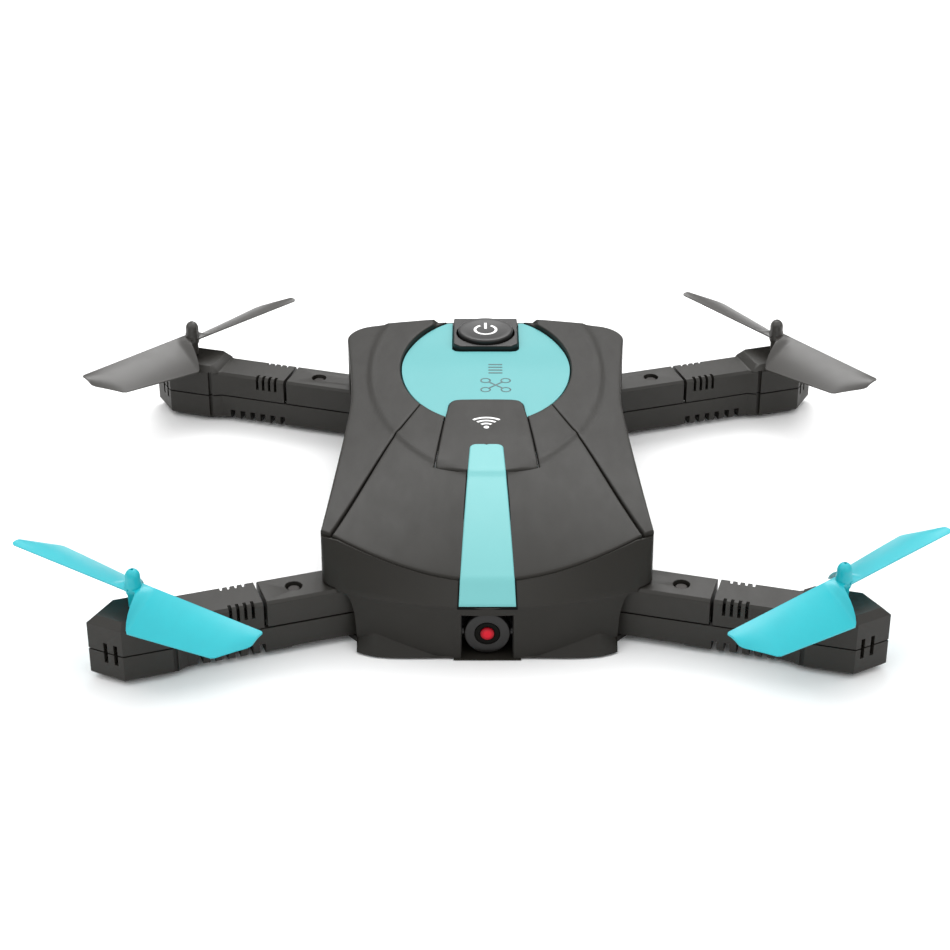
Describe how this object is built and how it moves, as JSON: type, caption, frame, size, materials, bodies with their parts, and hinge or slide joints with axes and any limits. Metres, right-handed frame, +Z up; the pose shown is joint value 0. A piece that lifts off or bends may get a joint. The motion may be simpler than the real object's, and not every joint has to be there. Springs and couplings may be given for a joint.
{
  "type": "mini palm drone",
  "caption": "Palm-size folding quadcopter with swing-out arms, spinning propellers, a tilting nose camera and a sprung power button.",
  "frame": {"origin": "centre of the belly's flat underside, the face the drone rests on", "axes": "+X to the drone's right seen from behind the camera that faces it, -Y out of the nose with the camera, +Z up"},
  "size_m": [0.1947, 0.1642, 0.0274],
  "materials": {
    "body_black": "satin warm-black moulded plastic with a fine spark grain",
    "panel_teal": "pale teal moulded plastic, softly satin",
    "propeller_teal": "translucent bright teal nylon, glossy",
    "propeller_grey": "dark grey nylon with a slight sheen",
    "inner_grey": "plain dark grey moulded plastic of the hidden frame",
    "bare_steel": "bright steel of the shafts, pins and screws",
    "motor_can": "drawn steel motor can, lightly brushed",
    "lens_glass": "deep red glossy lens front",
    "lens_rim": "bright trim ring round the lens",
    "sign_white": "white pad-printed ink",
    "sign_dark": "dark green-grey pad-printed ink",
    "board_green": "green solder-masked circuit board",
    "battery_foil": "silver foil of the pouch cell"
  },
  "bodies": {
    "body": {"belly_tray": "body_black", "battery_door": "body_black", "battery": "battery_foil", "main_board": "board_green", "inner_deck": "inner_grey", "nose_shell": "body_black", "hood_panel": "body_black", "upper_shell": "body_black", "mode_panel": "body_black", "rear_cover": "panel_teal", "centre_strip": "panel_teal", "power_plate": "body_black", "power_switch": "inner_grey", "camera_bracket": "inner_grey", "belly_screw_1": "bare_steel", "belly_screw_2": "bare_steel", "belly_screw_3": "bare_steel", "belly_screw_4": "bare_steel", "front_left_pivot_pin": "bare_steel", "front_right_pivot_pin": "bare_steel", "rear_left_pivot_pin": "bare_steel", "rear_right_pivot_pin": "bare_steel"},
    "power_button": {"power_button": "body_black"},
    "camera": {"camera_housing": "body_black", "lens_ring": "lens_rim", "camera_lens": "lens_glass"},
    "front_left_arm": {"front_left_arm_lower_shell": "body_black", "front_left_arm_upper_shell": "body_black", "front_left_arm_root_cover": "body_black", "front_left_arm_screw": "bare_steel", "front_left_motor": "motor_can"},
    "front_left_propeller_body": {"front_left_propeller": "propeller_teal", "front_left_motor_shaft": "bare_steel"},
    "front_right_arm": {"front_right_arm_lower_shell": "body_black", "front_right_arm_upper_shell": "body_black", "front_right_arm_root_cover": "body_black", "front_right_arm_screw": "bare_steel", "front_right_motor": "motor_can"},
    "front_right_propeller_body": {"front_right_propeller": "propeller_teal", "front_right_motor_shaft": "bare_steel"},
    "rear_left_arm": {"rear_left_arm_lower_shell": "body_black", "rear_left_arm_upper_shell": "body_black", "rear_left_arm_root_cover": "body_black", "rear_left_arm_screw": "bare_steel", "rear_left_motor": "motor_can"},
    "rear_left_propeller_body": {"rear_left_propeller": "propeller_grey", "rear_left_motor_shaft": "bare_steel"},
    "rear_right_arm": {"rear_right_arm_lower_shell": "body_black", "rear_right_arm_upper_shell": "body_black", "rear_right_arm_root_cover": "body_black", "rear_right_arm_screw": "bare_steel", "rear_right_motor": "motor_can"},
    "rear_right_propeller_body": {"rear_right_propeller": "propeller_grey", "rear_right_motor_shaft": "bare_steel"}
  },
  "joints": [
    {"name": "front_left_arm_fold", "type": "hinge", "parent": "body", "child": "front_left_arm", "pos_m": [-0.028, -0.0428, 0], "axis": [0, 0, 1], "range_deg": [-109, 0]},
    {"name": "front_left_propeller_spin", "type": "hinge", "parent": "front_left_arm", "child": "front_left_propeller_body", "pos_m": [-0.07055, -0.05745, 0], "axis": [0, 0, 1], "continuous": true},
    {"name": "front_right_arm_fold", "type": "hinge", "parent": "body", "child": "front_right_arm", "pos_m": [0.028, -0.0428, 0], "axis": [0, 0, 1], "range_deg": [0, 105.8]},
    {"name": "front_right_propeller_spin", "type": "hinge", "parent": "front_right_arm", "child": "front_right_propeller_body", "pos_m": [0.0713, -0.05505, 0], "axis": [0, 0, 1], "continuous": true},
    {"name": "rear_left_arm_fold", "type": "hinge", "parent": "body", "child": "rear_left_arm", "pos_m": [-0.0164, 0.0412, 0], "axis": [0, 0, 1], "range_deg": [0, 107]},
    {"name": "rear_left_propeller_spin", "type": "hinge", "parent": "rear_left_arm", "child": "rear_left_propeller_body", "pos_m": [-0.07148, 0.05804, 0], "axis": [0, 0, 1], "continuous": true},
    {"name": "rear_right_arm_fold", "type": "hinge", "parent": "body", "child": "rear_right_arm", "pos_m": [0.0164, 0.0412, 0], "axis": [0, 0, 1], "range_deg": [-108, 0]},
    {"name": "rear_right_propeller_spin", "type": "hinge", "parent": "rear_right_arm", "child": "rear_right_propeller_body", "pos_m": [0.07118, 0.059, 0], "axis": [0, 0, 1], "continuous": true},
    {"name": "camera_tilt", "type": "hinge", "parent": "body", "child": "camera", "pos_m": [0, -0.052, 0.0056], "axis": [1, 0, 0], "range_deg": [0, 25]},
    {"name": "power_button_press", "type": "slide", "parent": "body", "child": "power_button", "axis": [0, 0, 1], "range_m": [-0.0005, 0], "stiffness_N_per_m": 400, "springref_m": 0.0002}
  ]
}
